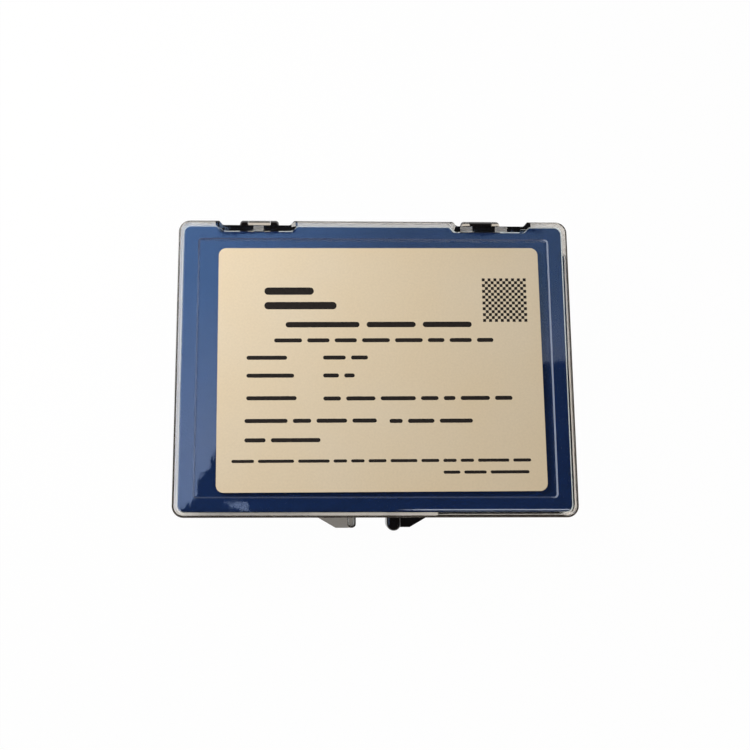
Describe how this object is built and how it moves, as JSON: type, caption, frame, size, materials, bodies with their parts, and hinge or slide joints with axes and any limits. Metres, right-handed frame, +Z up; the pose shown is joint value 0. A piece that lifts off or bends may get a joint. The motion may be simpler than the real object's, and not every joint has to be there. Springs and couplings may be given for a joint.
{
  "type": "cuvette case",
  "caption": "Hinged rectangular plastic case with a clear lid, a black base, foam padding and a paper label, holding a black-walled micro cuvette.",
  "frame": {"origin": "under the middle of the outline, on the plane the shut case rests on", "axes": "+X to the right along the hinges, +Y to the rear where the hinges are, +Z up through the lid"},
  "size_m": [0.08, 0.0658, 0.02],
  "materials": {
    "black_styrene": "gloss",
    "clear_styrene": "gloss",
    "label_paper": "satin",
    "blue_foam": "matte",
    "black_quartz": "polished",
    "clear_quartz": "polished",
    "white_ptfe": "satin"
  },
  "bodies": {
    "base": {"base": "black_styrene", "foam_insert": "blue_foam", "foam_sheet": "blue_foam", "cell_walls": "black_quartz", "cell_window_upper": "clear_quartz", "cell_window_lower": "clear_quartz", "cell_cap": "white_ptfe"},
    "lid": {"lid": "clear_styrene", "label": "label_paper", "lid_pad": "blue_foam"}
  },
  "joints": [
    {"name": "lid_hinge", "type": "hinge", "parent": "base", "child": "lid", "pos_m": [0, 0.03143, 0.01], "axis": [-1, 0, 0], "range_deg": [0, 180]}
  ]
}
